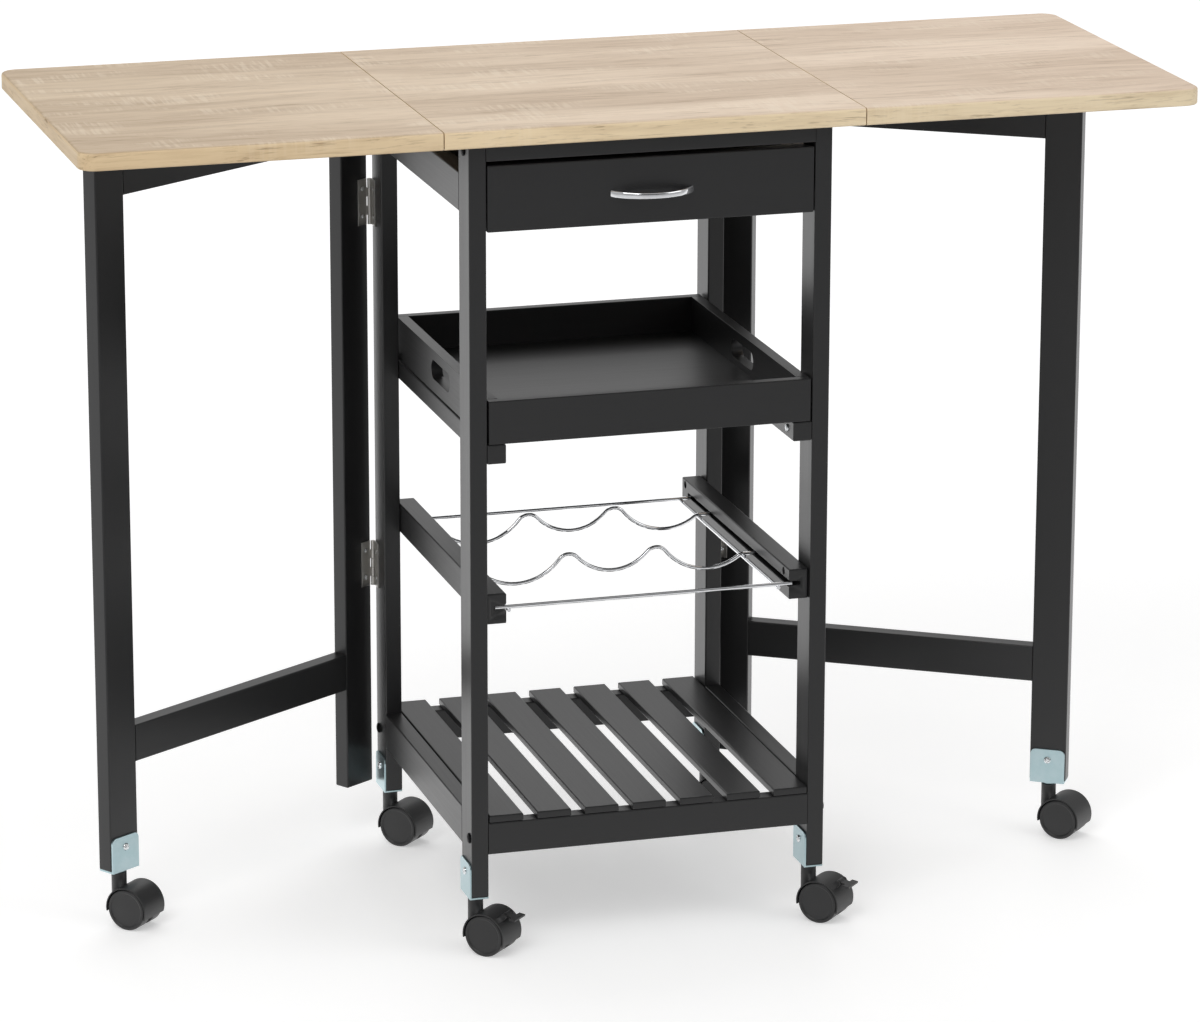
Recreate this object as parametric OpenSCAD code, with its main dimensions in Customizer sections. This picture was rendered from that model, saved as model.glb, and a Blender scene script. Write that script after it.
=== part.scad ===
// Drop leaf kitchen island on six twin-wheel casters: a slatted open cart with one
// drawer, a lift-out tray and a wire bottle rack, and two swinging gates that carry
// the side leaves of the top. Millimetres. X runs to the right along the top, Y to
// the back and Z up; the origin lies on the floor under the middle of the cart.

/* [Top] */
// Height of the worktop above the floor
overall_h = 870; // [850:5:900]
// Thickness of the three top boards
board_t = 18; // [16:1:22]
// Depth of the top, front to back
top_d = 432; // [420:2:450]
// Width of the fixed centre board
centre_w = 438; // [434:2:460]
// Width of each side leaf
leaf_w = 363; // [330:1:400]
// Gap between the centre board and a leaf
seam_gap = 1.2; // [1:0.1:1.6]
// Corner radius at the outer ends of the leaves
leaf_corner_r = 18; // [6:1:30]

/* [Cart frame] */
// Width of the cart over the outer faces of its posts
cart_w = 380; // [372:2:384]
// Depth of the cart over its posts
cart_d = 396; // [388:2:404]
// Thickness of the posts, seen from the front
post_t = 18; // [16:1:20]
// Depth of the posts, seen from the side
post_d = 40; // [36:1:44]
// Thickness of the rails and aprons
rail_t = 18; // [16:1:20]
// Height of the four side rails
side_rail_h = 40; // [34:1:46]
// Height of the flat rail above the drawer
front_rail_h = 18; // [16:1:22]
// Height of the back apron
back_apron_h = 75; // [60:1:90]
// Distance from the boards down to the upper side rails
side_rail_drop = 35; // [31:1:40]

/* [Drawer] */
// Height of the drawer front
drawer_front_h = 68; // [64:1:76]
// Dark gap above the drawer front
drawer_top_gap = 4; // [2:0.5:6]
// Gap at each side of the drawer front
drawer_side_gap = 1; // [0.5:0.5:2]
// Thickness of the box's sides and back
box_wall = 12; // [11:1:13]
// Height of the box's sides and back
box_h = 50; // [46:1:52]
// Length of the box behind the front
box_len = 330; // [300:5:335]
// Least gap between the box and the back apron
box_back_gap = 4; // [2:1:8]
// Thickness of the drawer's bottom
box_bottom_t = 4; // [3:1:5]
// Gap between the box and the posts, which the runners bridge
box_gap = 5; // [4:0.5:6]
// Height of a drawer runner
runner_h = 12; // [10:1:14]
// How far a runner reaches into the groove of the box's side
runner_bite = 5.5; // [4:0.5:6]
// Width of the bow handle between its ends
handle_w = 88; // [70:2:110]
// Outer radius of the bow handle
handle_r = 55; // [56:1:70]
// Height of the handle's strip
handle_h = 8; // [6:1:12]
// Thickness of the handle's strip
handle_t = 3; // [2.5:0.5:4]

/* [Tray] */
// Height of the tray's underside above the floor
tray_z = 543.3; // [520:1:560]
// Height of the tray's walls
tray_h = 45; // [40:1:50]
// Depth of the tray, front to back
tray_d = 382; // [360:2:384]
// Thickness of the tray's walls
tray_wall = 12; // [10:1:14]
// Thickness of the tray's base
tray_base_t = 4; // [3:1:5]
// Gap between the tray and the posts
tray_gap = 2; // [1:0.5:3]
// Length of a hand slot
slot_w = 75; // [65:1:85]
// Height of a hand slot
slot_h = 20; // [16:1:22]
// Width and height of the tray's runners
tray_runner_s = 20; // [18:1:24]

/* [Bottle rack] */
// Height of the rack rails' underside above the floor
rack_z = 353; // [340:1:380]
// Height of a rack rail
rack_rail_h = 32; // [30:1:36]
// Thickness of a rack rail
rack_rail_t = 21; // [20:1:24]
// Length of a rack rail
rack_rail_len = 372; // [360:1:380]
// Distance from the cart's front to a rack rail's front end
rack_rail_setback = 6; // [4:1:12]
// Depth of the groove in a rack rail
groove_d = 12.5; // [11.5:0.5:14]
// Height of the groove's middle above the rail's underside
groove_up = 17; // [15:0.5:18]
// Diameter of the rack's wire
wire_d = 4; // [3.5:0.1:4.5]
// Distance of each side wire from the wire frame's middle
side_wire_x = 144; // [138:1:147]
// Length of the cross wires' tips outside the side wires
tip_len = 14.5; // [13:0.5:16]
// Sideways place of the wire frame in its rails
rack_shift = -4; // [-4:0.5:4]
// Distance of the front wavy wire behind the front wire
first_wave_in = 115; // [105:1:125]
// Distance between the two wavy wires
wave_space = 155; // [140:1:165]
// Distance between the two crests of a wavy wire
wave_pitch = 95; // [92:1:98]
// Height of a crest above the wire's level tips
crest_up = 15; // [12:0.5:18]
// Bend radius of a crest
crest_r = 13; // [10:0.5:16]
// Drop of the middle trough below the tips
mid_dip = 6; // [4:0.5:8]
// Distance of an outer trough from the wire's middle
end_trough = 104; // [101:1:106]
// Drop of an outer trough below the tips
end_dip = 12.5; // [11.5:0.5:13]
// Length from an outer trough to the level tip
end_run = 39; // [37:0.5:40]
// Depth of the wire frame, front wire to rear wire
rack_depth = 337; // [320:1:345]

/* [Shelf] */
// Height of the shelf's surface above the floor
shelf_z = 150; // [140:1:200]
// Number of slats
slat_count = 7; // [5:1:8]
// Width of a slat
slat_w = 36; // [30:1:40]
// Thickness of a slat
slat_t = 8; // [7:1:10]
// Gap between an outer slat and the posts
slat_edge_gap = 1; // [0.5:0.5:2]
// Height of the shelf's front and back rails
cross_rail_h = 34; // [28:1:38]

/* [Gates] */
// Width of a gate
gate_w = 400; // [380:2:404]
// Width of a gate's posts and rails, seen from the front
gate_post_w = 40; // [36:1:44]
// Thickness of a gate
gate_t = 18; // [16:1:20]
// Angle at which the gates stand open
gate_open = 57; // [30:1:80]
// Height of a gate's bottom rail above the floor
gate_rail_z = 174; // [160:1:200]
// Gap between the cart's side and a closed gate
gate_gap = 5; // [4.8:0.1:5.4]
// Height of the lower gate hinge's middle above the floor
low_hinge_z = 310; // [280:1:330]
// Distance from the boards down to the upper gate hinge's middle
high_hinge_drop = 142; // [120:1:170]

/* [Hinges] */
// Height of a gate hinge
gate_hinge_h = 50; // [45:1:60]
// Width of one gate hinge leaf
gate_hinge_w = 16; // [14:1:20]
// Length of a top leaf's hinge
top_hinge_len = 60; // [50:1:70]
// Width of one flap of a top leaf's hinge
top_hinge_w = 26; // [20:1:28]
// Thickness of the hinge plates
hinge_t = 1.2; // [1:0.1:1.3]
// Diameter of the hinge knuckles
knuckle_d = 4.6; // [4.4:0.1:4.8]
// Diameter of the hinge pins
hinge_pin_d = 2.6; // [2.2:0.1:2.8]

/* [Casters] */
// Height of a caster, floor to the foot of its post
caster_h = 60; // [58:1:66]
// Radius of a caster wheel
wheel_r = 22; // [20:0.5:22.5]
// Width over both wheels
caster_w = 38; // [36:1:44]
// Distance of the axle behind the swivel axis
trail = 19.5; // [17:0.5:21]
// Thickness of the web between the wheels
web_t = 5; // [4:0.5:6]
// Thickness of the hood
hood_t = 1.4; // [1.2:0.1:2]
// Diameter of the swivel boss
boss_d = 16; // [15:0.5:18]
// Diameter of the swivel stem
stem_d = 8; // [7:0.5:9]
// Diameter of the collar on the stem, under the bracket
collar_d = 12; // [10:0.5:14]
// Height of the collar
collar_h = 3; // [2:0.5:4]
// Diameter of the axle
axle_d = 5; // [4:0.5:6]
// Direction in which the casters trail, from the X axis
caster_turn = -45; // [-50:1:-40]
// Length of a brake pedal
pedal_len = 15; // [12:1:17]
// Width of a brake pedal's tread
pedal_w = 22; // [18:1:26]

/* [Brackets and fasteners] */
// Thickness of a caster bracket
bracket_t = 2; // [1.5:0.5:2.5]
// Width of a caster bracket
bracket_w = 38; // [32:1:40]
// Height of a bracket's upright plate
bracket_h = 38; // [34:1:42]
// Diameter of a frame bolt's shank
bolt_d = 6; // [5:0.5:6]
// Diameter of a frame bolt's head
bolt_head_d = 11; // [10:0.5:12]
// Diameter of a wood screw's shank
screw_d = 4; // [3.5:0.1:4]
// Diameter of a small hinge screw's shank
hinge_screw_d = 3; // [2.4:0.1:3]

/* [Hidden] */

// Clearances
seat = 0.3;          // between a part that slides or rests and what carries it
running = 0.05;      // around a shaft, on the radius
eps = 1;             // overshoot of cuts

$fn = 48;

// Levels
under = overall_h - board_t;
post_z = caster_h + bracket_t;
side_rail_top = under - side_rail_drop;
shelf_rail_top = shelf_z - slat_t;

// Plan
half_w = cart_w / 2;
half_d = max(cart_d, box_len + 2 * rail_t + box_back_gap) / 2;
inner_x = half_w - post_t;
inner_y = half_d - post_d;
post_x = half_w - post_t / 2;
post_y = half_d - post_d / 2;
seam_x = centre_w / 2;
leaf_in = seam_x + seam_gap;

// Drawer
drawer_front_top = under - front_rail_h - drawer_top_gap;
drawer_front_z = drawer_front_top - drawer_front_h;
box_x = inner_x - box_gap;
box_bottom_z = drawer_front_z + 4;
box_z = box_bottom_z + box_bottom_t;
box_front_y = -half_d + rail_t;
box_back_y = box_front_y + box_len;
runner_z = box_z + 19;
runner_front_y = box_front_y + 5;
runner_in = box_x - runner_bite;
handle_z = drawer_front_z + 32;
handle_mid_y = -half_d + sqrt(pow(handle_r, 2) - pow(handle_w / 2, 2));

// Tray
tray_x = inner_x - tray_gap;
tray_back_y = -half_d + tray_d;
tray_base_z = tray_z + 3;
tray_runner_top = tray_z - seat;
slot_z = tray_z + tray_h / 2 + 2;

// Bottle rack
rack_rail_front = -half_d + rack_rail_setback;
rack_rail_back = rack_rail_front + rack_rail_len;
rack_in = inner_x - rack_rail_t;
groove_z = rack_z + groove_up;
wave_lift = 0.45;
groove_low = groove_z - wire_d / 2 - seat;
groove_high = groove_z + wire_d / 2 + wave_lift + seat;
rack_front_y = rack_rail_front + 2;
rack_back_y = rack_front_y + rack_depth;
groove_back = rack_back_y + 12;
weld = 0.4;
lap = 1.6;
side_wire_z = groove_z - wire_d + weld;
tip_x = side_wire_x + tip_len;
wave_places = [rack_front_y + first_wave_in, rack_front_y + first_wave_in + wave_space];
rack_bolt_z = rack_z + rack_rail_h - 6;
rack_bolt_y = [rack_rail_front + 18, rack_rail_back - 12];
rack_bolt_sink = 8;

// Two arcs that bend opposite ways and meet: the sum of their radii, and their turn
function both_radii(run, rise) = (run * run + rise * rise) / (2 * rise);
function both_turn(run, rise) = asin(run / both_radii(run, rise));
crest_in = wave_pitch / 2;
crest_out = end_trough - crest_in;
mid_r = both_radii(crest_in, crest_up + mid_dip) - crest_r;
mid_turn = both_turn(crest_in, crest_up + mid_dip);
end_r = both_radii(crest_out, crest_up + end_dip) - crest_r;
end_turn = both_turn(crest_out, crest_up + end_dip);
exit_r = both_radii(end_run, end_dip) - end_r;
exit_turn = both_turn(end_run, end_dip);
joint_grow = 0.2;
joint_nick = 0.2;

// Shelf
slat_pitch = (2 * (inner_x - slat_edge_gap) - slat_w) / (slat_count - 1);
cross_rail_z = shelf_rail_top - cross_rail_h;

// Gates, built closed against the left side and turned about their hinge pin
hinge_face = gate_gap / 2;
pin_x = half_w + hinge_face;
pin_y = half_d + 1;
gate_end = 1;
gate_top = under - seat;
gate_in = -hinge_face;
gate_out = gate_in - gate_t;
gate_far = -gate_end - gate_w;
gate_foot_y = gate_far + gate_post_w / 2;
gate_foot_x = gate_in - gate_t / 2;
hinge_places = [low_hinge_z, under - high_hinge_drop];
hinge_screw_in = 6.2;
hinge_screw_up = gate_hinge_h * 0.3;
hinge_screw_len = 12;

// Hinges of the top leaves
top_hinge_y = [-120, 100];
top_hinge_face = knuckle_d / 2 + 0.5;
top_pin_x = seam_x + seam_gap / 2;
top_pin_z = under - top_hinge_face;
top_screw_in = 8;
top_screw_side = top_hinge_len * 0.3;

// Casters
axle_z = wheel_r;
wheel_space = 0.8;
hood_in = wheel_r + wheel_space;
hood_out = hood_in + hood_t;
boss_top = caster_h - collar_h - seat;
stem_len = 18;
stem_floor = 1;
front_lip = 190;
back_lip = -20;
wheel_gap = 0.75;
wheel_in = web_t / 2 + wheel_gap;
wheel_out = caster_w / 2 - 0.5;
pedal_angle = 50;
pedal_pin_r = hood_out + 4.2;
pedal_pin_d = 2.4;
pedal_ear_y = 6.5;
pedal_ear_t = 2;
pedal_ear_r = 2.9;
pedal_tilt = -6;
pedal_t = 2;
tread_len = 7;

// Fasteners
bolt_head_h = 2.2;
bolt_len = 38;
screw_head_r = 4;
screw_head_h = 2;
screw_len = 14;
bracket_screw_z = post_z + bracket_h - bracket_t - 12;

wood = "#2a2a2c";
oak = "#d8cbb4";
chrome = "#d9dbde";
zinc = "#aeb4bb";
plastic = "#26272a";

// ------------------------------------------------------------------ helpers

module board(low, high) {
    translate(low) cube(high - low);
}

module both_sides() {
    children();
    mirror([1, 0, 0]) children();
}

// Sets its children in the swung position of the left gate
module left_gate() {
    translate([-pin_x, pin_y, 0]) rotate([0, 0, -gate_open]) children();
}

module right_gate() {
    mirror([1, 0, 0]) left_gate() children();
}

// A round bar along X from x0 to x1
module bar_x(x0, x1, y, z, r) {
    translate([x0, y, z]) rotate([90, 0, 90]) cylinder(r = r, h = x1 - x0);
}

// A round bar along Y from y0 to y1
module bar_y(y0, y1, x, z, r) {
    translate([x, y0, z]) rotate([-90, 0, 0]) cylinder(r = r, h = y1 - y0);
}

// Half of a butt hinge. Its pin runs up the Z axis from 0 to len, and its plate
// lies at the distance face on the +X side and reaches w towards -Y. It owns every
// second one of the count knuckles, starting with first.
module hinge_half(len, w, face, count, first, pinned) {
    segment = len / count;
    knuckle_r = knuckle_d / 2;
    clear_y = knuckle_r + 0.5;
    difference() {
        union() {
            board([face - hinge_t, -w, 0], [face, -clear_y, len]);
            for (i = [first:2:count - 1]) {
                low = i * segment + seat / 2;
                high = (i + 1) * segment - seat / 2;
                board([face - hinge_t, -clear_y - eps, low], [face, 0, high]);
                board([0, -hinge_t, low], [face, 0, high]);
                translate([0, 0, low]) cylinder(d = knuckle_d, h = high - low);
            }
            if (pinned) cylinder(d = hinge_pin_d, h = len);
        }
        if (!pinned) {
            translate([0, 0, -eps]) cylinder(r = hinge_pin_d / 2 + running, h = len + 2 * eps);
        }
    }
}

// ------------------------------------------------------------------ fasteners

// A wood screw along +X with its pan head's seat at x = 0
module pan_screw(len) {
    bar_x(0, len, 0, 0, screw_d / 2);
    difference() {
        bar_x(-screw_head_h, 0, 0, 0, screw_head_r);
        translate([-screw_head_h - eps, 0, 0]) {
            for (turn = [0, 90]) {
                rotate([turn, 0, 0]) board([0, -2.4, -0.5], [eps + 0.9, 2.4, 0.5]);
            }
        }
    }
}

// A flush hinge screw along +X: its head fills the plate's thickness
module flush_screw(len) {
    bar_x(0, hinge_t, 0, 0, hinge_screw_d / 2 + 1.1);
    bar_x(0, len, 0, 0, hinge_screw_d / 2);
}

// A frame bolt along +X with a socket in its low round head
module frame_bolt(len) {
    bar_x(0, len, 0, 0, bolt_d / 2);
    difference() {
        bar_x(-bolt_head_h, 0, 0, 0, bolt_head_d / 2);
        translate([-bolt_head_h - eps, 0, 0]) rotate([0, 90, 0]) {
            cylinder(d = bolt_d * 0.75, h = eps + 1.5, $fn = 6);
        }
    }
}

// Places of the frame bolts on the left side: depth and height
frame_bolt_places = [
    [-post_y, under - front_rail_h / 2],
    [-half_d + rail_t / 2, cross_rail_z + cross_rail_h / 2],
    [half_d - rail_t / 2, under - 12],
    [half_d - rail_t / 2, under - back_apron_h + 14],
    [half_d - rail_t / 2, cross_rail_z + cross_rail_h / 2],
];

// Frame bolts of the left side, as bolts or as the holes they fill
module frame_bolts(hole) {
    for (place = frame_bolt_places) {
        translate([-half_w, place[0], place[1]]) {
            if (hole) bar_x(-eps, bolt_len, 0, 0, bolt_d / 2);
            else frame_bolt(bolt_len);
        }
    }
}

// Screws that hold the tray runners and the rack rails to the left posts
module rail_screws(hole) {
    deep = screw_len;
    for (y = [-post_y, post_y]) {
        translate([-inner_x + tray_runner_s, y, tray_runner_top - tray_runner_s / 2])
        rotate([0, 0, 180]) {
            if (hole) bar_x(-eps, tray_runner_s + deep, 0, 0, screw_d / 2);
            else pan_screw(tray_runner_s + deep);
        }
    }
    for (y = rack_bolt_y) {
        translate([-rack_in - rack_bolt_sink, y, rack_bolt_z]) rotate([0, 0, 180]) {
            reach = rack_rail_t - rack_bolt_sink + deep;
            if (hole) {
                bar_x(-rack_bolt_sink - eps, 0, 0, 0, screw_head_r + 0.2);
                bar_x(-eps, reach, 0, 0, screw_d / 2);
            }
            else pan_screw(reach);
        }
    }
}

// Screws of the left posts' gate hinges
module fixed_hinge_screws(hole) {
    for (z = hinge_places, side = [-1, 1]) {
        translate([-half_w - hinge_t, pin_y - gate_hinge_w + hinge_screw_in, z + side * hinge_screw_up]) {
            if (hole) bar_x(0, hinge_screw_len, 0, 0, hinge_screw_d / 2);
            else flush_screw(hinge_screw_len);
        }
    }
}

// Screws that hold the four cart brackets, all on the posts' -X faces
module cart_bracket_screws(hole) {
    for (x = [-half_w, inner_x], y = [-post_y, post_y]) {
        translate([x - bracket_t, y, bracket_screw_z]) {
            if (hole) bar_x(0, screw_len, 0, 0, screw_d / 2);
            else pan_screw(screw_len);
        }
    }
}

// Screws of one gate, in the closed gate's own place: hinges, then the bracket
module gate_screws(hole) {
    for (z = hinge_places, side = [-1, 1]) {
        translate([gate_in + hinge_t, -gate_hinge_w + hinge_screw_in, z + side * hinge_screw_up])
        rotate([0, 0, 180]) {
            if (hole) bar_x(0, hinge_screw_len, 0, 0, hinge_screw_d / 2);
            else flush_screw(hinge_screw_len);
        }
    }
    translate([gate_in + bracket_t, gate_foot_y, bracket_screw_z]) rotate([0, 0, 180]) {
        if (hole) bar_x(0, screw_len, 0, 0, screw_d / 2);
        else pan_screw(screw_len);
    }
}

// Upright screws through one flap row of the top hinges, at the distance x
module top_hinge_screws(x, hole) {
    for (y = top_hinge_y, side = [-1, 1]) {
        translate([x, y + side * top_screw_side, under - hinge_t]) rotate([0, -90, 0]) {
            if (hole) bar_x(0, hinge_screw_len, 0, 0, hinge_screw_d / 2);
            else flush_screw(hinge_screw_len);
        }
    }
}

top_screw_x = top_hinge_w - top_screw_in;

// ------------------------------------------------------------------ top

module top_centre() {
    color(oak) difference() {
        board([-seam_x, -top_d / 2, under], [seam_x, top_d / 2, overall_h]);
        both_sides() top_hinge_screws(top_pin_x - top_screw_x, true);
    }
}

// The right leaf, with its two outer corners rounded
module leaf_board() {
    r = leaf_corner_r;
    difference() {
        translate([leaf_in, -top_d / 2, under]) linear_extrude(board_t) {
            square([leaf_w - r, top_d]);
            translate([0, r]) square([leaf_w, top_d - 2 * r]);
            for (y = [r, top_d - r]) translate([leaf_w - r, y]) circle(r);
        }
        top_hinge_screws(top_pin_x + top_screw_x, true);
    }
}

module left_leaf() {
    color(oak) mirror([1, 0, 0]) leaf_board();
}

module right_leaf() {
    color(oak) leaf_board();
}

// Turns a hinge half so that its pin runs along Y under the right seam
module under_right_seam(y) {
    translate([top_pin_x, y - top_hinge_len / 2, top_pin_z]) rotate([-90, 0, 0]) {
        rotate([0, 0, -90]) children();
    }
}

module flap_screw_holes(x) {
    for (y = top_hinge_y, side = [-1, 1]) {
        translate([x, y + side * top_screw_side, under - hinge_t - eps]) {
            cylinder(r = hinge_screw_d / 2 + 1.1, h = hinge_t + 2 * eps);
        }
    }
}

module leaf_hinge_plates() {
    color(zinc) both_sides() difference() {
        for (y = top_hinge_y) under_right_seam(y) {
            hinge_half(top_hinge_len, top_hinge_w, top_hinge_face, 3, 0, true);
        }
        flap_screw_holes(top_pin_x - top_screw_x);
    }
}

module leaf_flaps() {
    difference() {
        for (y = top_hinge_y) under_right_seam(y) mirror([0, 1, 0]) {
            hinge_half(top_hinge_len, top_hinge_w, top_hinge_face, 3, 1, false);
        }
        flap_screw_holes(top_pin_x + top_screw_x);
    }
}

module left_leaf_flaps() {
    color(zinc) mirror([1, 0, 0]) leaf_flaps();
}

module right_leaf_flaps() {
    color(zinc) leaf_flaps();
}

module left_leaf_screws() {
    color(zinc) mirror([1, 0, 0]) top_hinge_screws(top_pin_x + top_screw_x, false);
}

module right_leaf_screws() {
    color(zinc) top_hinge_screws(top_pin_x + top_screw_x, false);
}

// ------------------------------------------------------------------ cart frame

// Every hole that the cart's fasteners fill
module cart_holes() {
    both_sides() {
        frame_bolts(true);
        rail_screws(true);
        fixed_hinge_screws(true);
    }
    cart_bracket_screws(true);
}

module posts_at(y0) {
    color(wood) difference() {
        both_sides() board([-half_w, y0, post_z], [-inner_x, y0 + post_d, under]);
        cart_holes();
    }
}

module front_posts() {
    posts_at(-half_d);
}

module rear_posts() {
    posts_at(inner_y);
}

module top_front_rail() {
    color(wood) difference() {
        board([-inner_x, -half_d, under - front_rail_h], [inner_x, -inner_y, under]);
        cart_holes();
    }
}

module back_apron() {
    color(wood) difference() {
        board([-inner_x, half_d - rail_t, under - back_apron_h], [inner_x, half_d, under]);
        cart_holes();
    }
}

// The four equal side rails: a pair under the top and a pair beside the shelf
module side_rails() {
    color(wood) both_sides() {
        for (top = [side_rail_top, shelf_z]) {
            board([-half_w, -inner_y, top - side_rail_h], [-half_w + rail_t, inner_y, top]);
        }
    }
}

// ------------------------------------------------------------------ drawer

module drawer_runners() {
    color(wood) both_sides() {
        board([-inner_x, runner_front_y, runner_z], [-runner_in, inner_y, runner_z + runner_h]);
    }
}

module drawer_front() {
    x = inner_x - drawer_side_gap;
    color(wood) board([-x, -half_d, drawer_front_z], [x, box_front_y, drawer_front_top]);
}

module drawer_sides() {
    color(wood) both_sides() difference() {
        board([-box_x, box_front_y, box_z], [-box_x + box_wall, box_back_y, box_z + box_h]);
        board(
            [-box_x - eps, box_front_y - eps, runner_z - seat],
            [-runner_in + 0.5, box_back_y + eps, runner_z + runner_h + seat]);
    }
}

module drawer_back() {
    x = box_x - box_wall;
    color(wood) board([-x, box_back_y - box_wall, box_z], [x, box_back_y, box_z + box_h]);
}

module drawer_bottom() {
    color(wood) board([-box_x, box_front_y, box_bottom_z], [box_x, box_back_y, box_z]);
}

// A flat strip bent to one arc that stands on the drawer front
module drawer_handle() {
    color(chrome) translate([0, handle_mid_y, handle_z - handle_h / 2]) {
        linear_extrude(handle_h) difference() {
            circle(handle_r, $fn = 96);
            circle(handle_r - handle_t, $fn = 96);
            translate([-handle_r - eps, -half_d - handle_mid_y]) square(2 * (handle_r + eps));
        }
    }
}

// ------------------------------------------------------------------ tray

// A hand slot with round ends, cut along X
module hand_slot() {
    mid_y = (tray_back_y - half_d) / 2;
    run = slot_w / 2 - slot_h / 2;
    board([-eps, mid_y - run, slot_z - slot_h / 2], [tray_wall + eps, mid_y + run, slot_z + slot_h / 2]);
    for (side = [-1, 1]) bar_x(-eps, tray_wall + eps, mid_y + side * run, slot_z, slot_h / 2);
}

module tray_side_walls() {
    color(wood) both_sides() difference() {
        board(
            [-tray_x, -half_d + tray_wall, tray_z],
            [-tray_x + tray_wall, tray_back_y - tray_wall, tray_z + tray_h]);
        translate([-tray_x, 0, 0]) hand_slot();
    }
}

module tray_end_walls() {
    color(wood) for (y = [-half_d, tray_back_y - tray_wall]) {
        board([-tray_x, y, tray_z], [tray_x, y + tray_wall, tray_z + tray_h]);
    }
}

module tray_base() {
    x = tray_x - tray_wall;
    color(wood) board(
        [-x, -half_d + tray_wall, tray_base_z],
        [x, tray_back_y - tray_wall, tray_base_z + tray_base_t]);
}

module tray_runners() {
    color(wood) difference() {
        both_sides() board(
            [-inner_x, -half_d, tray_runner_top - tray_runner_s],
            [-inner_x + tray_runner_s, half_d, tray_runner_top]);
        cart_holes();
    }
}

// ------------------------------------------------------------------ bottle rack

module rack_rails() {
    color(wood) difference() {
        both_sides() difference() {
            board(
                [-inner_x, rack_rail_front, rack_z],
                [-rack_in, rack_rail_back, rack_z + rack_rail_h]);
            board(
                [-rack_in - groove_d, rack_rail_front - eps, groove_low],
                [-rack_in + eps, groove_back, groove_high]);
        }
        cart_holes();
    }
}

// An arc of the rack's wire in the XZ plane: its centre at (x, z), its radius, from the
// angle a0 through the angle turn. It stops a hair short, inside the balls at its ends.
module wire_arc(x, z, r, a0, turn) {
    nick = joint_nick / r * 180 / PI;
    translate([x, 0, z]) rotate([90, 0, 0]) rotate([0, 0, a0 + nick]) {
        rotate_extrude(angle = turn - 2 * nick) translate([r, 0]) circle(d = wire_d);
    }
}

// The upset where two bends meet: a ball a little thicker than the wire, on the arc
// of radius r about (x, z) at the angle a
module wire_joint(x, z, r, a) {
    translate([x + r * cos(a), 0, z + r * sin(a)]) sphere(d = wire_d + joint_grow);
}

// One wavy wire: three wide troughs, two tight crests and two level tips
module wave_wire() {
    mid_z = groove_z - mid_dip + mid_r;
    end_z = groove_z - end_dip + end_r;
    crest_z = groove_z + crest_up - crest_r;
    exit_x = end_trough + end_run;
    exit_z = groove_z - exit_r;
    wire_arc(0, mid_z, mid_r, 270 - mid_turn, 2 * mid_turn);
    both_sides() {
        wire_joint(0, mid_z, mid_r, 270 + mid_turn);
        wire_arc(crest_in, crest_z, crest_r, 90 - end_turn, end_turn + mid_turn);
        wire_joint(end_trough, end_z, end_r, 270 - end_turn);
        wire_arc(end_trough, end_z, end_r, 270 - end_turn, end_turn + exit_turn);
        wire_joint(end_trough, end_z, end_r, 270 + exit_turn);
        wire_arc(exit_x, exit_z, exit_r, 90, exit_turn);
        wire_joint(exit_x, exit_z, exit_r, 90);
        bar_x(exit_x + joint_grow, tip_x, 0, groove_z, wire_d / 2);
    }
}

module wire_rack() {
    r = wire_d / 2;
    color(chrome) translate([rack_shift, 0, 0]) {
        for (y = [rack_front_y, rack_back_y]) bar_x(-tip_x, tip_x, y, groove_z, r);
        for (x = [-side_wire_x, side_wire_x]) {
            bar_y(rack_front_y - lap, rack_back_y + lap, x, side_wire_z, r);
        }
        for (y = wave_places) translate([0, y, wave_lift]) wave_wire();
    }
}

// ------------------------------------------------------------------ shelf

module shelf_cross_rails() {
    color(wood) difference() {
        for (y = [-half_d, half_d - rail_t]) {
            board([-inner_x, y, cross_rail_z], [inner_x, y + rail_t, shelf_rail_top]);
        }
        cart_holes();
    }
}

module shelf_slats() {
    color(wood) for (i = [0:slat_count - 1]) {
        x = -inner_x + slat_edge_gap + i * slat_pitch;
        board([x, -half_d, shelf_rail_top], [x + slat_w, half_d, shelf_z]);
    }
}

// ------------------------------------------------------------------ gates

module gate_posts() {
    difference() {
        for (y = [gate_far, -gate_end - gate_post_w]) {
            board([gate_out, y, post_z], [gate_in, y + gate_post_w, gate_top]);
        }
        gate_screws(true);
    }
}

module gate_rails() {
    for (z = [gate_rail_z, side_rail_top - side_rail_h]) {
        board(
            [gate_out, gate_far + gate_post_w, z],
            [gate_in, -gate_end - gate_post_w, z + side_rail_h]);
    }
}

module gate_hinge_leaves() {
    for (z = hinge_places) difference() {
        translate([0, 0, z - gate_hinge_h / 2]) mirror([1, 0, 0]) {
            hinge_half(gate_hinge_h, gate_hinge_w, hinge_face, 5, 1, false);
        }
        for (side = [-1, 1]) {
            bar_x(gate_in - eps, gate_in + hinge_t + eps, -gate_hinge_w + hinge_screw_in,
                z + side * hinge_screw_up, hinge_screw_d / 2 + 1.1);
        }
    }
}

module left_gate_posts() {
    color(wood) left_gate() gate_posts();
}

module right_gate_posts() {
    color(wood) right_gate() gate_posts();
}

module left_gate_rails() {
    color(wood) left_gate() gate_rails();
}

module right_gate_rails() {
    color(wood) right_gate() gate_rails();
}

module left_gate_hinge_leaves() {
    color(zinc) left_gate() gate_hinge_leaves();
}

module right_gate_hinge_leaves() {
    color(zinc) right_gate() gate_hinge_leaves();
}

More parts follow.
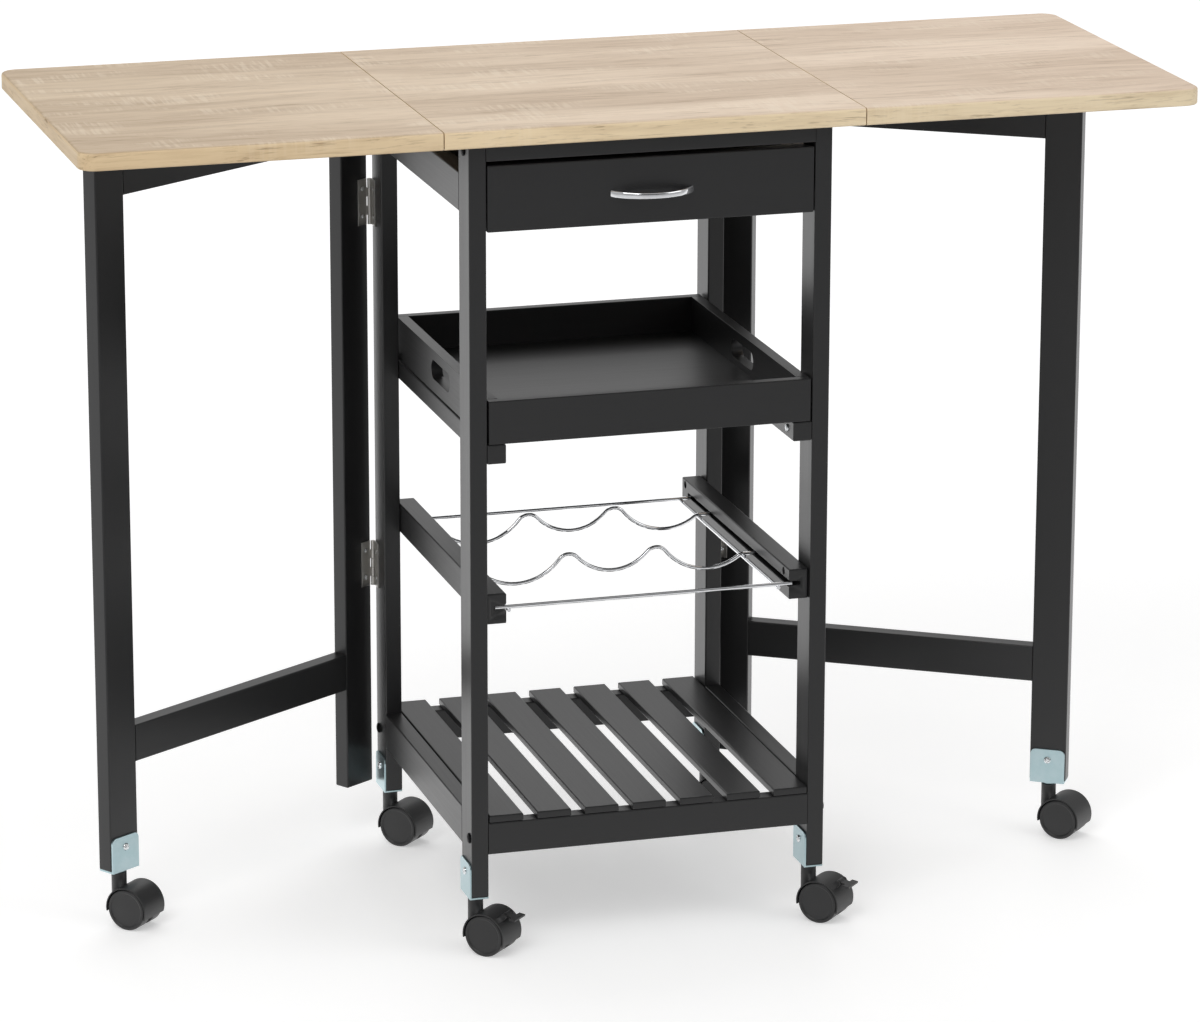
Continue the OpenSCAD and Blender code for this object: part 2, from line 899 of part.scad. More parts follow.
module gate_hinge_fixed_leaves() {
    color(zinc) both_sides() for (z = hinge_places) difference() {
        translate([-pin_x, pin_y, z - gate_hinge_h / 2]) {
            hinge_half(gate_hinge_h, gate_hinge_w, hinge_face, 5, 0, true);
        }
        for (side = [-1, 1]) {
            bar_x(-half_w - hinge_t - eps, -half_w + eps, pin_y - gate_hinge_w + hinge_screw_in,
                z + side * hinge_screw_up, hinge_screw_d / 2 + 1.1);
        }
    }
}

module left_gate_screws() {
    color(zinc) left_gate() gate_screws(false);
}

module right_gate_screws() {
    color(zinc) right_gate() gate_screws(false);
}

// ------------------------------------------------------------------ casters

// An angle bracket with its swivel stem. The post's face lies at x = 0 with the post
// on the +X side, and the bracket's middle lies at y = 0.
module caster_bracket(thick) {
    r = 6;
    top = bracket_h - bracket_t;
    difference() {
        union() {
            translate([-bracket_t, 0, post_z - bracket_t]) rotate([90, 0, 90]) {
                linear_extrude(bracket_t) {
                    translate([-bracket_w / 2, 0]) square([bracket_w, bracket_h - r]);
                    translate([-bracket_w / 2 + r, 0]) square([bracket_w - 2 * r, bracket_h]);
                    for (side = [-1, 1]) {
                        translate([side * (bracket_w / 2 - r), bracket_h - r]) circle(r);
                    }
                }
            }
            board([-bracket_t, -bracket_w / 2, caster_h], [thick, bracket_w / 2, post_z]);
            translate([thick / 2, 0, caster_h - stem_len]) cylinder(d = stem_d, h = stem_len + eps);
            translate([thick / 2, 0, caster_h - collar_h]) cylinder(d = collar_d, h = collar_h + eps);
        }
        bar_x(-bracket_t - eps, eps, 0, bracket_screw_z, screw_d / 2);
    }
}

module cart_caster_brackets() {
    color(zinc) for (x = [-half_w, inner_x], y = [-post_y, post_y]) {
        translate([x, y, 0]) caster_bracket(post_t);
    }
}

module gate_bracket() {
    translate([gate_in, gate_foot_y, 0]) mirror([1, 0, 0]) caster_bracket(gate_t);
}

module left_gate_bracket() {
    color(zinc) left_gate() gate_bracket();
}

module right_gate_bracket() {
    color(zinc) right_gate() gate_bracket();
}

module cart_bolts() {
    color(zinc) {
        both_sides() {
            frame_bolts(false);
            rail_screws(false);
            fixed_hinge_screws(false);
            top_hinge_screws(top_pin_x - top_screw_x, false);
        }
        cart_bracket_screws(false);
    }
}

// Sets a caster, which stands on the origin and trails along +X, under its stem
module at_cart_foot(x, y) {
    translate([x, y, 0]) rotate([0, 0, caster_turn]) children();
}

function left_gate_foot(side) = [
    side * (pin_x - gate_foot_x * cos(gate_open) - gate_foot_y * sin(gate_open)),
    pin_y - gate_foot_x * sin(gate_open) + gate_foot_y * cos(gate_open),
];

module at_gate_foot(side) {
    foot = left_gate_foot(side);
    at_cart_foot(foot[0], foot[1]) children();
}

// The side view of a hood: a disc that is open below between its two lips
module hood_outline(r) {
    far = 3 * r;
    mid_lip = (front_lip + back_lip + 360) / 2;
    difference() {
        circle(r, $fn = 96);
        polygon([
            [0, 0],
            [far * cos(front_lip), far * sin(front_lip)],
            [far * cos(mid_lip), far * sin(mid_lip)],
            [far * cos(back_lip), far * sin(back_lip)],
        ]);
    }
}

// Turns an outline into a slab across the wheels, centred on the axle
module across(width) {
    translate([trail, width / 2, axle_z]) rotate([90, 0, 0]) linear_extrude(width) children();
}

// Sets its children at the pedal's pin, with X pointing away from the axle
module at_pedal_pin() {
    translate([trail, 0, axle_z]) rotate([0, -pedal_angle, 0]) translate([pedal_pin_r, 0, 0]) children();
}

module caster_hood(brake) {
    color(plastic) difference() {
        union() {
            across(caster_w) hood_outline(hood_out);
            across(web_t) circle(axle_d / 2 + 4);
            translate([0, 0, axle_z - 3]) cylinder(d = boss_d, h = boss_top - axle_z + 3);
            if (brake) at_pedal_pin() {
                for (side = [-1, 1]) {
                    y = side * (pedal_ear_y + pedal_ear_t / 2) - pedal_ear_t / 2;
                    bar_y(y, y + pedal_ear_t, 0, 0, pedal_ear_r);
                    board(
                        [hood_in - pedal_pin_r, y, -pedal_ear_r],
                        [0, y + pedal_ear_t, pedal_ear_r]);
                }
                bar_y(-pedal_ear_y - pedal_ear_t, pedal_ear_y + pedal_ear_t, 0, 0, pedal_pin_d / 2);
            }
        }
        for (side = [0, 1]) mirror([0, side, 0]) {
            bar_y(web_t / 2, caster_w, trail, axle_z, hood_in);
        }
        bar_y(-caster_w, caster_w, trail, axle_z, axle_d / 2 + running);
        translate([0, 0, caster_h - stem_len - stem_floor]) {
            cylinder(r = stem_d / 2 + running, h = caster_h);
        }
    }
}

// One wheel with its half of the axle: a disc with a shallow dish in its face
module caster_wheel(side) {
    mid = (wheel_in + wheel_out) / 2;
    color(plastic) translate([trail, 0, axle_z]) rotate([-90 * side, 0, 0]) difference() {
        union() {
            translate([0, 0, wheel_in]) cylinder(r = wheel_r - 1, h = wheel_out - wheel_in);
            translate([0, 0, wheel_in + 1]) cylinder(r = wheel_r, h = wheel_out - wheel_in - 2);
            translate([0, 0, seat / 2]) cylinder(d = axle_d, h = mid);
        }
        translate([0, 0, wheel_out - 1]) cylinder(r = wheel_r - 3.5, h = 1 + eps);
    }
}

module brake_pedal() {
    reach = pedal_ear_y - pedal_ear_t / 2 - seat;
    color(plastic) at_pedal_pin() difference() {
        union() {
            bar_y(-reach, reach, 0, 0, pedal_ear_r);
            rotate([0, pedal_angle - pedal_tilt, 0]) {
                board([pedal_ear_r * 0.7, -reach, -pedal_t / 2], [pedal_len, reach, pedal_t / 2]);
                board(
                    [pedal_len - tread_len, -pedal_w / 2, -pedal_t / 2],
                    [pedal_len, pedal_w / 2, pedal_t / 2]);
            }
        }
        bar_y(-pedal_w, pedal_w, 0, 0, pedal_pin_d / 2 + running);
    }
}

module front_left_hood() {
    at_cart_foot(-post_x, -post_y) caster_hood(true);
}

module front_right_hood() {
    at_cart_foot(post_x, -post_y) caster_hood(true);
}

module rear_left_hood() {
    at_cart_foot(-post_x, post_y) caster_hood(false);
}

module rear_right_hood() {
    at_cart_foot(post_x, post_y) caster_hood(false);
}

module left_gate_hood() {
    at_gate_foot(-1) caster_hood(false);
}

module right_gate_hood() {
    at_gate_foot(1) caster_hood(false);
}

top_centre();
left_leaf();
right_leaf();
leaf_hinge_plates();
left_leaf_flaps();
right_leaf_flaps();
left_leaf_screws();
right_leaf_screws();
front_posts();
rear_posts();
top_front_rail();
back_apron();
side_rails();
drawer_runners();
drawer_front();
drawer_sides();
drawer_back();
drawer_bottom();
drawer_handle();
tray_side_walls();
tray_end_walls();
tray_base();
tray_runners();
rack_rails();
wire_rack();
shelf_cross_rails();
shelf_slats();
left_gate_posts();
right_gate_posts();
left_gate_rails();
right_gate_rails();
left_gate_hinge_leaves();
right_gate_hinge_leaves();
gate_hinge_fixed_leaves();
cart_caster_brackets();
left_gate_bracket();
right_gate_bracket();
cart_bolts();
left_gate_screws();
right_gate_screws();
front_left_hood();
front_right_hood();
rear_left_hood();
rear_right_hood();
left_gate_hood();
right_gate_hood();
at_cart_foot(-post_x, -post_y) caster_wheel(1);  // front_left_wheel_a
at_cart_foot(-post_x, -post_y) caster_wheel(-1);  // front_left_wheel_b
at_cart_foot(post_x, -post_y) caster_wheel(1);  // front_right_wheel_a
at_cart_foot(post_x, -post_y) caster_wheel(-1);  // front_right_wheel_b
at_cart_foot(-post_x, post_y) caster_wheel(1);  // rear_left_wheel_a
at_cart_foot(-post_x, post_y) caster_wheel(-1);  // rear_left_wheel_b
at_cart_foot(post_x, post_y) caster_wheel(1);  // rear_right_wheel_a
at_cart_foot(post_x, post_y) caster_wheel(-1);  // rear_right_wheel_b
at_gate_foot(-1) caster_wheel(1);  // left_gate_wheel_a
at_gate_foot(-1) caster_wheel(-1);  // left_gate_wheel_b
at_gate_foot(1) caster_wheel(1);  // right_gate_wheel_a
at_gate_foot(1) caster_wheel(-1);  // right_gate_wheel_b
at_cart_foot(-post_x, -post_y) brake_pedal();  // front_left_pedal
at_cart_foot(post_x, -post_y) brake_pedal();  // front_right_pedal
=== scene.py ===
# %% [markdown]
# # A drop leaf kitchen island, dressed for its picture
#
# The frame that comes from the CAD model holds every board, wire, hinge and caster at its exact
# place. This lesson leaves all places as they are. It gives each part the small forms that a CAD
# model leaves out, such as softened board edges, screw heads and dished wheel discs, and then a
# finish that is made from nodes alone.

# %% Load the fixed frame
import bmesh
import bpy
import math
from mathutils import Matrix, Vector


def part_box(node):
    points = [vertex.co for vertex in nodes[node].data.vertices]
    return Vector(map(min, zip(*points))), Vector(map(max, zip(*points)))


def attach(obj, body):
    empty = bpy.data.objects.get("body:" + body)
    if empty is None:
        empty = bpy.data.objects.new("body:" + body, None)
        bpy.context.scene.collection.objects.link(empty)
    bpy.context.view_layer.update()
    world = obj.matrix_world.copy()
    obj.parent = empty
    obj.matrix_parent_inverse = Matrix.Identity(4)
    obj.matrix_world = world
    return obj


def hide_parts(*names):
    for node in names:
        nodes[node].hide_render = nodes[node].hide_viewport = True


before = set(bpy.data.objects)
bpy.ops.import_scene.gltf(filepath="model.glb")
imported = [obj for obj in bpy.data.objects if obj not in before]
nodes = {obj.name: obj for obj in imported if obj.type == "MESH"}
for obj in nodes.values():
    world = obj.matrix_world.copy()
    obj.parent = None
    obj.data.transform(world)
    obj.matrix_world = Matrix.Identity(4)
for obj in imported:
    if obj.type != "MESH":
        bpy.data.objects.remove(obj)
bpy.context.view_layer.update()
mm = 0.001
quarter = math.pi / 2


def new_object(name, data):
    """An object of its own in the scene, at the origin."""
    made = bpy.data.objects.new(name, data)
    bpy.context.scene.collection.objects.link(made)
    return made

# %% [markdown]
# ## The camera
#
# The photograph was taken a little from the left and from above with a long lens. The camera's
# place, its three turns and its focal length were found by fitting corners of the boards and
# posts. A camera looks along its own -Z axis, so it is first tipped up by a right angle less the
# pitch, and then turned about the upright axis.

# %% Set the camera
yaw, pitch, roll = 0.2869, 0.2778, 0.0020
eye = (-1.57979, -5.37013, 2.00352)
picture_wide, focal_px = 1200, 5528.9
lens = bpy.data.cameras.new("camera")
lens.sensor_width = 36.0
lens.lens = focal_px / picture_wide * lens.sensor_width
lens.clip_end = 100.0
camera = new_object("camera", lens)
camera.matrix_world = (
    Matrix.Translation(eye)
    @ Matrix.Rotation(-yaw, 4, "Z")
    @ Matrix.Rotation(quarter - pitch, 4, "X")
    @ Matrix.Rotation(roll, 4, "Z")
)
bpy.context.scene.camera = camera
print("lens", round(lens.lens, 1), "mm")

# %% [markdown]
# ## Shader maths that reads like a sum
#
# A finish mixes many small patterns: streaks, pores, scratches. Wired by hand, such a mix is a
# long list of Math nodes that nobody can read. The class below wraps one socket, so that
# `1 - streak * 0.4` adds the nodes by itself. Its one method `node` makes any other node: the
# settings are set first, because they decide which sockets are there.

# %% Wrap a socket
class Shade:
    """One socket of a node tree, usable in sums."""

    def __init__(self, tree, socket=None):
        self.tree = tree
        self.socket = socket

    def fill(self, place, value):
        """Links a wrapped socket to a node's input, or sets a plain value there."""
        if isinstance(value, Shade):
            self.tree.links.new(value.socket, place)
        else:
            place.default_value = value

    def node(self, kind, settings=(), values=(), result=None, **named):
        """Any node: its type, its settings, then values or links for its sockets."""
        made = self.tree.nodes.new("ShaderNode" + kind)
        for key, value in dict(settings).items():
            setattr(made, key, value)
        open_inputs = [s for s in made.inputs if s.enabled]
        for place, value in zip(open_inputs, values):
            self.fill(place, value)
        for key, value in named.items():
            self.fill(next(s for s in open_inputs if s.name == key.replace("_", " ")), value)
        outputs = [s for s in made.outputs if s.enabled]
        return Shade(self.tree, next((s for s in outputs if s.name == result), outputs[0]))

    def sum_of(self, operation, a, b):
        """One Math node on two sockets or numbers."""
        return self.node("Math", {"operation": operation}, (a, b))

    def __add__(self, other):
        return self.sum_of("ADD", self, other)

    def __radd__(self, other):
        return self.sum_of("ADD", other, self)

    def __sub__(self, other):
        return self.sum_of("SUBTRACT", self, other)

    def __rsub__(self, other):
        return self.sum_of("SUBTRACT", other, self)

    def __mul__(self, other):
        return self.sum_of("MULTIPLY", self, other)

    def __rmul__(self, other):
        return self.sum_of("MULTIPLY", other, self)

    def between(self, low, high):
        """0 up to low, 1 from high on, and a smooth step in between."""
        return self.node("MapRange", {"interpolation_type": "SMOOTHSTEP"}, (self, low, high))

    def mixed(self, first, second):
        """From one colour at 0 to another at 1; each is a triple or a wrapped socket."""
        ends = [c if isinstance(c, Shade) else (*c, 1) for c in (first, second)]
        return self.node("Mix", {"data_type": "RGBA"}, (self, *ends))


def new_finish(name, **constants):
    """An empty material, its main shader, and a wrapped start for its nodes."""
    finish = bpy.data.materials.new(name)
    finish.use_nodes = True
    shader = finish.node_tree.nodes["Principled BSDF"]
    for key, value in constants.items():
        shader.inputs[key.replace("_", " ")].default_value = value
    return finish, shader, Shade(finish.node_tree)


print("shader maths ready")

# %% [markdown]
# ## Light oak laminate
#
# The boards are chipboard with a printed oak foil: pale tan, with long soft streaks along the
# board, short dark pores, and faint patches of marks straight across, which copy a saw's teeth.
# Noise that is squeezed along one axis gives streaks of any length, so the whole look is a sum of
# such noises. Each board gets its own offset, because the three were cut from different sheets.
# The whole top has a painted ramp of light, darker at the left and paler at the right, and the
# edge band is a slightly yellower version with the same painted ramp.

# %% Make the oak finishes
def stretched(start, place, scale, detail=3.0, rough=0.55, shift=(0, 0, 0)):
    """Noise on a squeezed copy of the place, so that its spots become streaks."""
    squeezed = start.node("Mapping", values=(place, shift, (0, 0, 0), scale))
    return start.node(
        "TexNoise", {"noise_dimensions": "3D"}, Vector=squeezed, Scale=1.0, Detail=detail,
        Roughness=rough)


streak_share = (0.54, 0.47, 0.40)
saw_tone, pore_tone = (0.92, 0.80, 0.63), (0.27, 0.17, 0.09)


def oak_laminate(name, shift, left_tone_painted_shade, right_tone_painted_light, grain="X", marks=0.27, pitting=0.50):
    """Oak foil with its grain along X or Y; marks and pitting say how strongly they show."""
    finish, shader, start = new_finish(name)
    place = start.node("TexCoord", result="Object")
    # Painted light: the oak tone runs from the left tone to the right tone along X, a painted ramp
    # of light and shade over the real oak colour.
    along = start.node("SeparateXYZ", values=(place,), result="X").between(-0.9, 0.9)
    light = along.mixed(left_tone_painted_shade, right_tone_painted_light)
    dark = start.node(
        "Mix", {"data_type": "RGBA", "blend_type": "MULTIPLY"}, (1.0, light, (*streak_share, 1)))
    if grain == "Y":
        place = start.node("Mapping", values=(place, (0, 0, 0), (0, 0, quarter)))
    place = start.node("Mapping", values=(place, shift))
    wander = stretched(start, place, (2.2, 9, 9), 2.0) - 0.5
    aside = start.node("CombineXYZ", values=(0.0, wander * 0.07, wander * 0.02))
    bent = start.node("VectorMath", {"operation": "ADD"}, (place, aside))
    clouds = stretched(start, bent, (1.3, 10, 10), 3.0).between(0.34, 0.68)
    streaks = stretched(start, bent, (6.5, 70, 70), 5.0, 0.66).between(0.42, 0.72)
    threads = stretched(start, bent, (9, 310, 310), 3.0, 0.6).between(0.45, 0.75)
    pores = stretched(start, bent, (24, 420, 420), 3.0, 0.65, (3, 5, 1)).between(0.56, 0.66)
    saw = stretched(start, place, (230, 16, 16), 2.0, 0.5, (1, 0, 4)).between(0.44, 0.62)
    patches = stretched(start, place, (8, 24, 24), 2.0, 0.5, (7, 2, 0)).between(0.50, 0.66)
    figure = clouds * 0.44 + streaks * 0.30 + threads * 0.18
    tan = figure.mixed(light, dark)
    pale = (saw * patches * marks).mixed(tan, saw_tone)
    flecked = (pores * (streaks * 0.7 + 0.3) * pitting).mixed(pale, pore_tone)
    rough = 0.46 + figure * 0.10 + pores * 0.12
    depth = 0.5 - pores * 0.35 - threads * 0.15 + saw * patches * 0.1
    bump = start.node("Bump", Strength=0.12, Distance=0.0006, Height=depth)
    start.fill(shader.inputs["Base Color"], flecked)
    start.fill(shader.inputs["Roughness"], rough)
    start.fill(shader.inputs["Normal"], bump)
    return finish


# Each pair is the oak colour at the left end and at the right end, and the step between them is
# painted light and shade.
face_tones_painted_ramp = ((0.655, 0.500, 0.320), (0.975, 0.790, 0.625))
band_tones_painted_ramp = ((0.880, 0.680, 0.420), (0.960, 0.820, 0.580))
oak_tops = {}
oak_bands = {}
for board_name, shift in {
    "left_leaf": (1.9, 0.7, 0.0), "top_centre": (0.3, 0.1, 0.0), "right_leaf": (4.1, 1.6, 0.0),
}.items():
    oak_tops[board_name] = oak_laminate(board_name + "_oak", shift, *face_tones_painted_ramp)
    oak_bands[board_name] = [
        oak_laminate(board_name + "_band_long", shift, *band_tones_painted_ramp, "X", 0.10, 0.80),
        oak_laminate(board_name + "_band_end", shift, *band_tones_painted_ramp, "Y", 0.10, 0.80),
    ]
print(len(oak_tops), "oak faces and", sum(map(len, oak_bands.values())), "edge bands")

# %% [markdown]
# ## Black satin paint
#
# Posts, rails, drawer and tray are solid wood under a black satin paint. The paint hides the
# colour of the wood, but not all of its grain: at a shallow angle the light still runs in faint
# lines along each board. So the grain goes into the bump and slightly into the roughness, and the
# finish is made once for each direction in which boards run.

# %% Make the black paints
def black_paint(name, turn=(0, 0, 0), tone=0.0112, sheen=0.34):
    """Black paint over boards that run along X, or along X turned by the given angles."""
    finish, shader, start = new_finish(name, Specular_IOR_Level=0.5)
    place = start.node("TexCoord", result="Object")
    place = start.node("Mapping", values=(place, (0, 0, 0), turn))
    fibres = stretched(start, place, (7, 420, 420), 4.0, 0.6)
    boards = stretched(start, place, (1.1, 24, 24), 2.0)
    peel = stretched(start, place, (900, 900, 900), 1.0)
    level = 0.80 + boards * 0.30 + fibres * 0.10
    colour = start.node("CombineColor", values=(level * tone, level * tone, level * tone * 1.05))
    bump = start.node(
        "Bump", Strength=0.10, Distance=0.0004, Height=fibres * 0.8 + peel * 0.2)
    start.fill(shader.inputs["Base Color"], colour)
    start.fill(shader.inputs["Roughness"], sheen - 0.05 + fibres * 0.10 + boards * 0.04)
    start.fill(shader.inputs["Normal"], bump)
    return finish


gate_turn = math.radians(57)
paint_x = black_paint("black_paint_along_x")
paint_y = black_paint("black_paint_along_y", (0, 0, quarter))
paint_z = black_paint("black_paint_upright", (0, quarter, 0))
paint_left_gate = black_paint("black_paint_left_gate", (0, 0, gate_turn - quarter))
paint_right_gate = black_paint("black_paint_right_gate", (0, 0, quarter - gate_turn))
print("five black paints")

# %% [markdown]
# ## Metals and plastic
#
# The wires and the handle are chrome: almost a mirror, with a breath of unevenness. The caster
# brackets are zinc plated, which dries in soft bluish clouds, and the screws are brighter. The
# frame bolts are black. The hinges are a greyer steel. The casters are moulded in black plastic,
# with a fine spark texture on the hood and smoother wheel discs.

# %% Make the metals and the plastics
def metal(name, colour, second, rough, cloud_scale, spread):
    """A metal that drifts between two colours, and in roughness by the spread."""
    finish, shader, start = new_finish(name, Metallic=1.0)
    place = start.node("TexCoord", result="Object")
    clouds = stretched(start, place, (cloud_scale,) * 3, 3.0, 0.6).between(0.35, 0.65)
    fine = stretched(start, place, (cloud_scale * 14,) * 3, 2.0)
    tint = clouds.mixed(colour, second)
    bump = start.node("Bump", Strength=0.05, Distance=0.0002, Height=fine)
    start.fill(shader.inputs["Base Color"], tint)
    start.fill(shader.inputs["Roughness"], rough + (clouds + fine - 1.0) * spread)
    start.fill(shader.inputs["Normal"], bump)
    return finish


def plastic(name, tone, rough, grain, strength):
    """Moulded black plastic with a spark texture of the given grain and strength."""
    finish, shader, start = new_finish(name)
    place = start.node("TexCoord", result="Object")
    spark = stretched(start, place, (grain,) * 3, 2.0, 0.6)
    hands = stretched(start, place, (60,) * 3, 2.0)
    level = 0.85 + hands * 0.30
    colour = start.node("CombineColor", values=(level * tone, level * tone, level * tone * 1.03))
    bump = start.node("Bump", Strength=strength, Distance=0.0002, Height=spark)
    start.fill(shader.inputs["Base Color"], colour)
    start.fill(shader.inputs["Roughness"], rough + hands * 0.08)
    start.fill(shader.inputs["Normal"], bump)
    return finish


bright_zinc = metal("bright_zinc", (0.74, 0.77, 0.79), (0.80, 0.82, 0.83), 0.20, 300, 0.06)
black_oxide = metal("black_oxide", (0.006, 0.006, 0.007), (0.012, 0.012, 0.013), 0.50, 300, 0.08)
chrome = metal("chrome", (0.80, 0.81, 0.83), (0.75, 0.76, 0.78), 0.05, 90, 0.02)
zinc = metal("zinc_plate", (0.40, 0.53, 0.56), (0.45, 0.57, 0.60), 0.34, 60, 0.05)
hinge_steel = metal("hinge_steel", (0.45, 0.44, 0.42), (0.47, 0.46, 0.44), 0.30, 40, 0.02)
hood_plastic = plastic("hood_plastic", 0.016, 0.42, 1500, 0.30)
disc_plastic = plastic("disc_plastic", 0.014, 0.38, 700, 0.08)
print("five metals and two plastics")

# %% [markdown]
# ## A board with softened edges
#
# A CAD board ends in perfectly sharp edges. A real one is sanded or has a rounded foil, and that
# thin round is what catches the light and makes a board look like one. A CAD node's mesh is never
# changed, so a copy is taken: its loose triangles are merged, flat neighbours are joined into
# whole faces, and then only the long square edges are bevelled. Rail ends stay sharp, since they
# butt against a post. A weighted normal keeps the big flat faces flat beside the small round.

# %% Copy, soften and hang a piece
weld = 1e-6


def clean_copy(*names):
    """CAD nodes as one editable form of whole faces."""
    form = bmesh.new()
    for name in names:
        form.from_mesh(nodes[name].data)
    bmesh.ops.remove_doubles(form, verts=form.verts, dist=weld * 2)
    bmesh.ops.dissolve_limit(
        form, angle_limit=math.radians(0.5), verts=form.verts, edges=form.edges)
    return form


def square_edges(form, least, wanted=None):
    """The convex edges of about a right angle that are at least that long."""
    found = []
    for edge in form.edges:
        if len(edge.link_faces) != 2 or not edge.is_convex or edge.calc_length() < least:
            continue
        if edge.calc_face_angle() < math.radians(60):
            continue
        if wanted is None or wanted(edge.verts[0].co, edge.verts[1].co):
            found.append(edge)
    return found


def round_over(form, edges, width, segments=3):
    """Bevels the edges into a round of that width."""
    bmesh.ops.bevel(
        form, geom=edges, offset=width, offset_type="OFFSET", affect="EDGES",
        segments=segments, profile=0.5, material=-1, clamp_overlap=True)


def hang(form, name, body, finishes, stands_for=(), sharp=35):
    """Turns a form into a piece that rides on its body, with its finish."""
    mesh = bpy.data.meshes.new(name)
    form.to_mesh(mesh)
    form.free()
    for finish in finishes if isinstance(finishes, (list, tuple)) else [finishes]:
        mesh.materials.append(finish)
    mesh.shade_smooth()
    mesh.set_sharp_from_angle(angle=math.radians(sharp))
    piece = new_object(name, mesh)
    flat = piece.modifiers.new("flat faces stay flat", "WEIGHTED_NORMAL")
    flat.keep_sharp = True
    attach(piece, body)
    if stands_for:
        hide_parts(*stands_for)
    print(f"{name}: {len(mesh.polygons)} faces on {body}")
    return piece


# %% [markdown]
# ## The three top boards
#
# The fixed board and the two leaves share one foil edge: a generous round on top, a smaller one
# below. Where two boards meet, the edge is almost square, and so the seam is a fine dark line.
# The band of each edge gets the yellower finish, picked by which way a face looks.

# %% Dress the top boards
top_round, lower_round = 3.2 * mm, 2.0 * mm
touching = 1e-4


def band_of(face):
    """0 for the top and the underside, 1 for a long edge, 2 for an end."""
    if abs(face.normal.z) > 0.75:
        return 0
    return 1 if abs(face.normal.y) > abs(face.normal.x) else 2


def rim_at(form, z, seams):
    """The rim's edges at one height, less those on a seam with the next board."""
    def wanted(a, b):
        level = abs(a.z - z) < touching and abs(b.z - z) < touching
        seam = any(abs(a.x - x) < touching and abs(b.x - x) < touching for x in seams)
        return level and not seam

    return square_edges(form, 1.5 * mm, wanted)


for board_name, body in {
    "top_centre": "cart", "left_leaf": "leaf_left", "right_leaf": "leaf_right",
}.items():
    low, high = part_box(board_name)
    form = clean_copy(board_name)
    seams = [x for x in (low.x, high.x) if abs(x) < 0.25]
    round_over(form, rim_at(form, high.z, seams), top_round, 4)
    round_over(form, rim_at(form, low.z, seams), lower_round, 3)
    form.normal_update()
    for face in form.faces:
        face.material_index = band_of(face)
    hang(form, board_name + "_board", body, [oak_tops[board_name], *oak_bands[board_name]],
         [board_name])

# %% [markdown]
# ## The cart's frame
#
# Four posts carry everything. Their long edges are rounded by about 1.5 mm, which is what the
# bright lines along the posts show. Rails are rounded along their length only.

# %% Dress the posts and rails
def soften(names, name, body, finish, width=1.5, least=50, segments=3):
    """Rounds every square edge of at least that many millimetres, and hangs the piece."""
    form = clean_copy(*names)
    round_over(form, square_edges(form, least * mm), width * mm, segments)
    return hang(form, name, body, finish, names)


soften(["front_posts"], "front_posts_dressed", "cart", paint_z, least=15)
soften(["rear_posts"], "rear_posts_dressed", "cart", paint_z, least=15)
soften(["top_front_rail"], "top_front_rail_dressed", "cart", paint_x)
soften(["back_apron"], "back_apron_dressed", "cart", paint_x)
soften(["side_rails"], "side_rails_dressed", "cart", paint_y)
soften(["shelf_cross_rails"], "shelf_cross_rails_dressed", "cart", paint_x)
soften(["shelf_slats"], "shelf_slats_dressed", "cart", paint_y, least=30)
soften(["tray_runners"], "tray_runners_dressed", "cart", paint_y, least=15)
soften(["rack_rails"], "rack_rails_dressed", "cart", paint_y, least=15)
soften(["drawer_runners"], "drawer_runners_dressed", "cart", paint_y, width=0.8)

# %% [markdown]
# ## The gates
#
# A gate is a frame of two posts and two rails. It stands open at an angle, so its rails get the
# paint whose grain is turned by that angle.

# %% Dress the gates
for side, paint in (("left", paint_left_gate), ("right", paint_right_gate)):
    body = "gate_" + side
    soften([side + "_gate_posts"], side + "_gate_posts_dressed", body, paint_z, least=15)
    soften([side + "_gate_rails"], side + "_gate_rails_dressed", body, paint)

# %% [markdown]
# ## The drawer and the tray
#
# Both are made of thinner boards, which are sanded less. The hand slots of the tray are rounded
# all the way round, since fingers go through them.

# %% Dress the drawer and the tray
soften(["drawer_front"], "drawer_front_dressed", "drawer", paint_x, least=15)
soften(["drawer_sides"], "drawer_sides_dressed", "drawer", paint_y, width=0.8)
soften(["drawer_back"], "drawer_back_dressed", "drawer", paint_x, width=0.8)
soften(["tray_side_walls"], "tray_side_walls_dressed", "tray", paint_y, least=1, width=1.2)
soften(["tray_end_walls"], "tray_end_walls_dressed", "tray", paint_x, width=1.2)

# %% [markdown]
# ## The bow handle
#
# The drawer's pull is a chrome bow, bent from a flat strip with round edges that is slimmer in
# its middle. It is swung about one centre, so `spin` makes it from a single ring of points. The
# ends run a hair into the drawer front, and so need no neat cut.

# %% Swing the handle
low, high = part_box("drawer_handle")
bow_middle = Vector((0, low.y + 55 * mm, (low.z + high.z) / 2))
bow_radius = 52.9 * mm
bow_half = math.radians(52.4)
strip_half_thick, strip_half_tall = 1.9 * mm, 4.0 * mm
slimmest, full_from = 0.78, 44 * mm
form = bmesh.new()
ring = bmesh.ops.create_circle(form, cap_ends=True, radius=1.0, segments=20)["verts"]
for v in ring:
    v.co.x = math.copysign(abs(v.co.x) ** 0.8, v.co.x) * strip_half_thick
    v.co.y = math.copysign(abs(v.co.y) ** 0.6, v.co.y) * strip_half_tall
bmesh.ops.rotate(form, matrix=Matrix.Rotation(quarter, 3, "X"), verts=ring)
bmesh.ops.translate(form, vec=bow_middle + Vector((bow_radius, 0, 0)), verts=ring)
bmesh.ops.rotate(
    form, cent=bow_middle, matrix=Matrix.Rotation(-quarter - bow_half, 3, "Z"), verts=ring)
swung = bmesh.ops.spin(
    form, geom=form.edges[:], cent=bow_middle, axis=(0, 0, 1), angle=2 * bow_half, steps=40)
last_ring = [e for e in swung["geom_last"] if isinstance(e, bmesh.types.BMEdge)]
